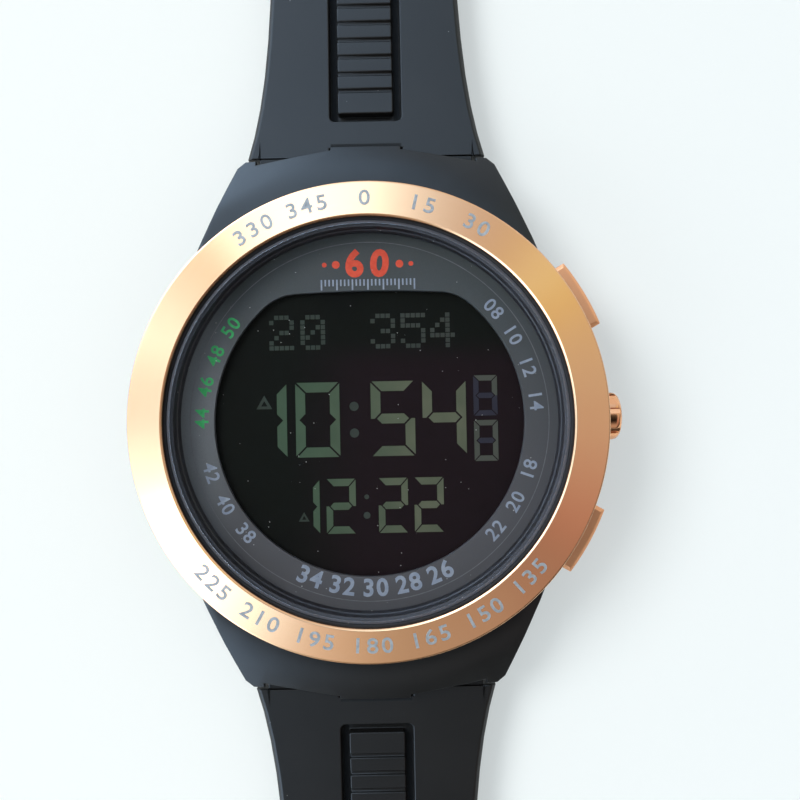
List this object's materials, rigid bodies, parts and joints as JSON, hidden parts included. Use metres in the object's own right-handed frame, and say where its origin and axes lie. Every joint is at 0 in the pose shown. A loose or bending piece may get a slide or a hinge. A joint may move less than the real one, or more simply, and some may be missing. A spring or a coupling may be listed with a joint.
{
  "type": "digital azan wristwatch",
  "caption": "Round digital wristwatch with a brushed rose-gold bezel, sprung side buttons, a dark display module, and a ribbed rubber strap with pin buckle and keepers.",
  "frame": {"origin": "centre of the case back's flat rest face", "axes": "+Z out of the display, +Y to 12 o'clock, +X to 3 o'clock where the buttons are"},
  "size_m": [0.0534, 0.2635, 0.0141],
  "materials": {
    "case_resin": "matte charcoal moulded resin",
    "rose_gold": "brushed rose-gold plate",
    "mineral_glass": "clear mineral glass",
    "seal_rubber": "black seal rubber",
    "black_plastic": "black moulded plastic",
    "grey_dial": "dark grey printed plate",
    "display_glass": "dark polarised liquid crystal cell",
    "white_plastic": "white moulded plastic",
    "green_board": "solder-masked glass laminate",
    "steel": "stainless steel",
    "brass": "brass and copper",
    "strap_rubber": "matte black moulded rubber",
    "buckle_steel": "brushed stainless steel"
  },
  "bodies": {
    "case": {"case_body": "case_resin", "bezel": "rose_gold", "crystal": "mineral_glass", "crystal_gasket": "seal_rubber", "dial_flange_ring": "black_plastic", "dial_plate": "grey_dial", "display_panel": "display_glass", "reflector_film": "white_plastic", "backlight_panel": "white_plastic", "display_connector_strip": "seal_rubber", "display_holder": "white_plastic", "circuit_board": "green_board", "controller_chip": "black_plastic", "compass_sensor": "black_plastic", "quartz_can": "steel", "booster_coil": "brass", "module_frame": "white_plastic", "battery_cell": "steel", "battery_clip": "steel", "buzzer_contact_spring": "brass", "buzzer_disc": "brass", "case_back": "steel", "case_back_gasket": "seal_rubber", "case_back_screw_1": "steel", "case_back_screw_2": "steel", "case_back_screw_3": "steel", "case_back_screw_4": "steel", "upper_pusher_spring": "steel", "upper_pusher_seal": "seal_rubber", "lower_pusher_spring": "steel", "lower_pusher_seal": "seal_rubber", "crown_button_spring": "steel", "crown_button_seal": "seal_rubber", "spring_bar_12": "steel", "spring_bar_6": "steel"},
    "upper_button": {"upper_pusher": "rose_gold", "upper_pusher_circlip": "steel"},
    "lower_button": {"lower_pusher": "rose_gold", "lower_pusher_circlip": "steel"},
    "light_button": {"crown_button": "rose_gold", "crown_button_circlip": "steel"},
    "buckle_strap": {"strap_buckle_half": "strap_rubber", "fixed_keeper": "strap_rubber"},
    "tail_strap": {"strap_tail_half": "strap_rubber"},
    "sliding_keeper": {"free_keeper": "strap_rubber"},
    "buckle": {"buckle_frame": "buckle_steel", "buckle_pin": "buckle_steel"},
    "tongue": {"buckle_tongue": "buckle_steel"}
  },
  "joints": [
    {"name": "upper_pusher_press", "type": "slide", "parent": "case", "child": "upper_button", "axis": [-0.866, -0.5, 0], "range_m": [0, 0.001], "stiffness_N_per_m": 1200, "deforming": ["upper_pusher_spring"]},
    {"name": "lower_pusher_press", "type": "slide", "parent": "case", "child": "lower_button", "axis": [-0.866, 0.5, 0], "range_m": [0, 0.001], "stiffness_N_per_m": 1200, "deforming": ["lower_pusher_spring"]},
    {"name": "crown_button_press", "type": "slide", "parent": "case", "child": "light_button", "axis": [-1, 0, 0], "range_m": [0, 0.001], "stiffness_N_per_m": 1200, "deforming": ["crown_button_spring"]},
    {"name": "buckle_strap_hinge", "type": "hinge", "parent": "case", "child": "buckle_strap", "pos_m": [0, 0.02805, 0.0034], "axis": [-1, 0, 0], "range_deg": [-3, 60]},
    {"name": "tail_strap_hinge", "type": "hinge", "parent": "case", "child": "tail_strap", "pos_m": [0, -0.02805, 0.0034], "axis": [1, 0, 0], "range_deg": [-3, 60]},
    {"name": "free_keeper_slide", "type": "slide", "parent": "buckle_strap", "child": "sliding_keeper", "axis": [0, -1, 0], "range_m": [-0.003, 0.018]},
    {"name": "buckle_hinge", "type": "hinge", "parent": "buckle_strap", "child": "buckle", "pos_m": [0, 0.10105, 0.0027], "axis": [1, 0, 0], "range_deg": [-40, 45]},
    {"name": "tongue_hinge", "type": "hinge", "parent": "buckle", "child": "tongue", "pos_m": [0, 0.10105, 0.0027], "axis": [1, 0, 0], "range_deg": [0, 80]}
  ]
}
